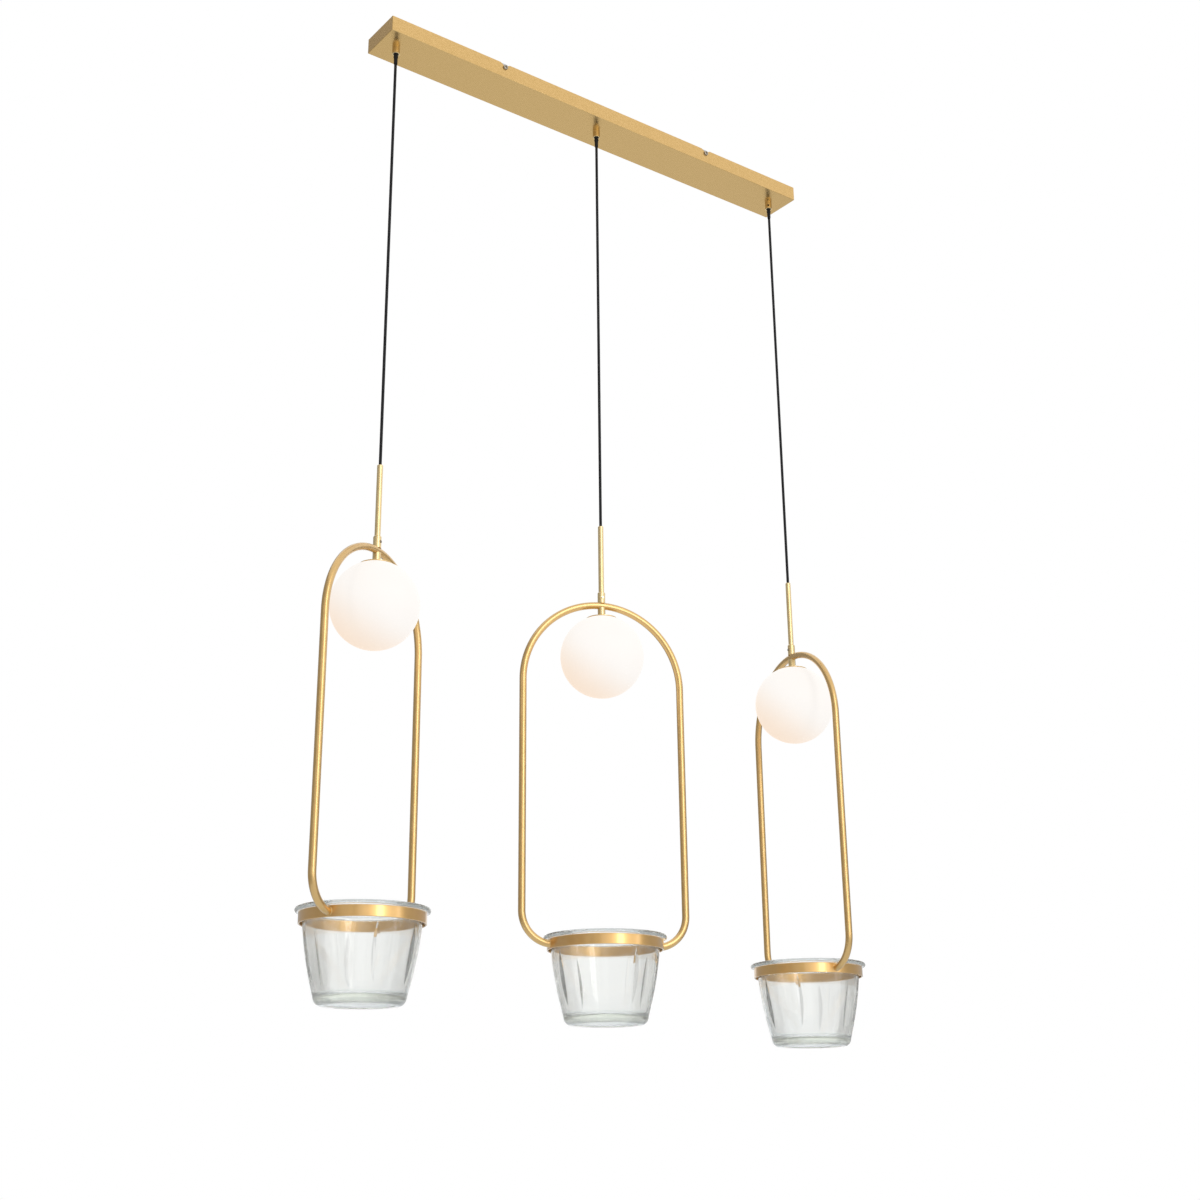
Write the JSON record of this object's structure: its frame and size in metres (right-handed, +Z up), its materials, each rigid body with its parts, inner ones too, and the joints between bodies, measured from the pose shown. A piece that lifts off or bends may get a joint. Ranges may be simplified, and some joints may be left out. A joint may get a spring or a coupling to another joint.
{
  "type": "pendant light",
  "caption": "Linear pendant light: a long gold canopy hangs bent tube frames on black cords, each with an opal globe lamp at its top and a clear glass plant pot in a ring at its foot.",
  "frame": {"origin": "middle of the canopy's top, in the plane of the ceiling, midway between the bracket's two slots", "axes": "+Z up, against the ceiling; X along the canopy, with the left hanger at -X; -Y is the side that the picture shows"},
  "size_m": [1.1099, 0.2818, 1.6865],
  "materials": {
    "canopy_paint": "satin gold paint",
    "frame_gold": "satin gold",
    "ring_gold": "brushed gold",
    "brass": "satin, turned",
    "chrome": "bright",
    "screw_steel": "blackened",
    "bracket_steel": "zinc plated",
    "terminal_plastic": "moulded",
    "lead_sheath": "extruded",
    "bush_rubber": "moulded",
    "cord_sheath": "smooth sheath",
    "ceramic": "ceramic",
    "lamp_glass": "frosted",
    "opal_glass": "opal",
    "clear_glass": "clear, pressed"
  },
  "bodies": {
    "canopy": {"canopy_shell": "canopy_paint", "ceiling_bracket": "bracket_steel", "canopy_side_screws": "chrome", "terminal_block": "terminal_plastic", "earth_terminal": "brass", "canopy_leads": "lead_sheath", "cord_grip_nuts": "bracket_steel", "grip_grub_screws": "screw_steel", "left_cord_grip": "brass", "middle_cord_grip": "brass", "right_cord_grip": "brass"},
    "left_bush": {"left_cord_bush": "bush_rubber"},
    "left_cord": {"left_cord": "cord_sheath", "left_cord_sleeve": "bush_rubber"},
    "left_hanger": {"left_stem": "brass", "left_coupler": "brass", "left_coupler_screw": "chrome", "left_nipple": "screw_steel", "left_collar": "brass", "left_frame": "frame_gold", "left_ring": "ring_gold", "left_globe_cap": "brass", "left_lamp_holder": "ceramic", "left_lamp_leads": "lead_sheath"},
    "left_globe": {"left_globe": "opal_glass"},
    "left_bulb": {"left_bulb": "lamp_glass"},
    "left_pot": {"left_pot": "clear_glass"},
    "middle_bush": {"middle_cord_bush": "bush_rubber"},
    "middle_cord": {"middle_cord": "cord_sheath", "middle_cord_sleeve": "bush_rubber"},
    "middle_hanger": {"middle_stem": "brass", "middle_coupler": "brass", "middle_coupler_screw": "chrome", "middle_nipple": "screw_steel", "middle_collar": "brass", "middle_frame": "frame_gold", "middle_ring": "ring_gold", "middle_globe_cap": "brass", "middle_lamp_holder": "ceramic", "middle_lamp_leads": "lead_sheath"},
    "middle_globe": {"middle_globe": "opal_glass"},
    "middle_bulb": {"middle_bulb": "lamp_glass"},
    "middle_pot": {"middle_pot": "clear_glass"},
    "right_bush": {"right_cord_bush": "bush_rubber"},
    "right_cord": {"right_cord": "cord_sheath", "right_cord_sleeve": "bush_rubber"},
    "right_hanger": {"right_stem": "brass", "right_coupler": "brass", "right_coupler_screw": "chrome", "right_nipple": "screw_steel", "right_collar": "brass", "right_frame": "frame_gold", "right_ring": "ring_gold", "right_globe_cap": "brass", "right_lamp_holder": "ceramic", "right_lamp_leads": "lead_sheath"},
    "right_globe": {"right_globe": "opal_glass"},
    "right_bulb": {"right_bulb": "lamp_glass"},
    "right_pot": {"right_pot": "clear_glass"}
  },
  "joints": [
    {"name": "left_swing", "type": "hinge", "parent": "canopy", "child": "left_bush", "pos_m": [-0.442, 0, -0.0388], "axis": [1, 0, 0], "range_deg": [-15, 15]},
    {"name": "left_side_swing", "type": "hinge", "parent": "left_bush", "child": "left_cord", "pos_m": [-0.442, 0, -0.0388], "axis": [0, 1, 0], "range_deg": [-2.5, 2.5]},
    {"name": "left_turn", "type": "hinge", "parent": "left_cord", "child": "left_hanger", "pos_m": [-0.442, 0, -0.826], "axis": [0, 0, 1], "range_deg": [-180, 180]},
    {"name": "left_globe_off", "type": "slide", "parent": "left_hanger", "child": "left_globe", "axis": [0, 0, -1], "range_m": [0, 0.1]},
    {"name": "left_bulb_pull", "type": "slide", "parent": "left_hanger", "child": "left_bulb", "axis": [0, 0, -1], "range_m": [0, 0.02]},
    {"name": "left_pot_lift", "type": "slide", "parent": "left_hanger", "child": "left_pot", "axis": [0, 0, 1], "range_m": [0, 0.15]},
    {"name": "middle_swing", "type": "hinge", "parent": "canopy", "child": "middle_bush", "pos_m": [0, 0, -0.0388], "axis": [1, 0, 0], "range_deg": [-15, 15]},
    {"name": "middle_side_swing", "type": "hinge", "parent": "middle_bush", "child": "middle_cord", "pos_m": [0, 0, -0.0388], "axis": [0, 1, 0], "range_deg": [-2.5, 2.5]},
    {"name": "middle_turn", "type": "hinge", "parent": "middle_cord", "child": "middle_hanger", "pos_m": [0, 0, -0.834], "axis": [0, 0, 1], "range_deg": [-180, 180]},
    {"name": "middle_globe_off", "type": "slide", "parent": "middle_hanger", "child": "middle_globe", "axis": [0, 0, -1], "range_m": [0, 0.1]},
    {"name": "middle_bulb_pull", "type": "slide", "parent": "middle_hanger", "child": "middle_bulb", "axis": [0, 0, -1], "range_m": [0, 0.02]},
    {"name": "middle_pot_lift", "type": "slide", "parent": "middle_hanger", "child": "middle_pot", "axis": [0, 0, 1], "range_m": [0, 0.15]},
    {"name": "right_swing", "type": "hinge", "parent": "canopy", "child": "right_bush", "pos_m": [0.442, 0, -0.0388], "axis": [1, 0, 0], "range_deg": [-15, 15]},
    {"name": "right_side_swing", "type": "hinge", "parent": "right_bush", "child": "right_cord", "pos_m": [0.442, 0, -0.0388], "axis": [0, 1, 0], "range_deg": [-2.5, 2.5]},
    {"name": "right_turn", "type": "hinge", "parent": "right_cord", "child": "right_hanger", "pos_m": [0.442, 0, -0.851], "axis": [0, 0, 1], "range_deg": [-180, 180]},
    {"name": "right_globe_off", "type": "slide", "parent": "right_hanger", "child": "right_globe", "axis": [0, 0, -1], "range_m": [0, 0.1]},
    {"name": "right_bulb_pull", "type": "slide", "parent": "right_hanger", "child": "right_bulb", "axis": [0, 0, -1], "range_m": [0, 0.02]},
    {"name": "right_pot_lift", "type": "slide", "parent": "right_hanger", "child": "right_pot", "axis": [0, 0, 1], "range_m": [0, 0.15]}
  ]
}
